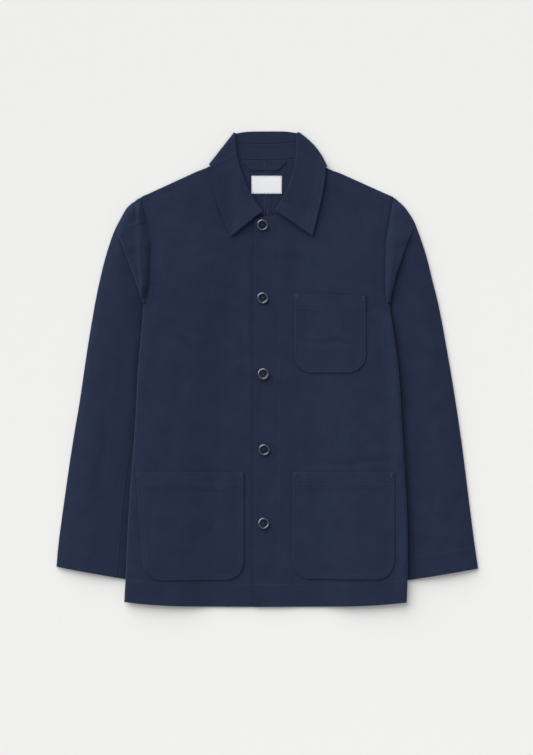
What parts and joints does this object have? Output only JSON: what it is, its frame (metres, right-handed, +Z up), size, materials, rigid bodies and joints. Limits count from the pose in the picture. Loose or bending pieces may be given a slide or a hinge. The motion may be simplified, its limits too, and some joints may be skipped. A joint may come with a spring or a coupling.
{
  "type": "chore jacket",
  "caption": "A cotton twill work jacket laid flat, front up: turned-down collar, buttoned front, three patch pockets and two-piece sleeves swung down beside the body.",
  "frame": {"origin": "On the table, under the middle of the jacket's outline.", "axes": "+X to the wearer's left, +Y from hem to collar, +Z up from the table, out of the jacket's front."},
  "size_m": [0.6951, 0.7836, 0.0124],
  "materials": {
    "twill": "brushed deep navy cotton twill",
    "resin": "polished near-black resin",
    "label": "white woven satin tape"
  },
  "bodies": {
    "root": {"back_left": "twill", "back_right": "twill", "front_left": "twill", "front_right": "twill", "top_sleeve_left": "twill", "top_sleeve_right": "twill", "under_sleeve_left": "twill", "under_sleeve_right": "twill", "collar_leaf": "twill", "collar_stand": "twill", "hanger_loop": "twill", "chest_pocket": "twill", "pocket_left": "twill", "pocket_right": "twill", "neck_label": "label", "button_1": "resin", "button_2": "resin", "button_3": "resin", "button_4": "resin", "button_5": "resin"}
  },
  "joints": []
}
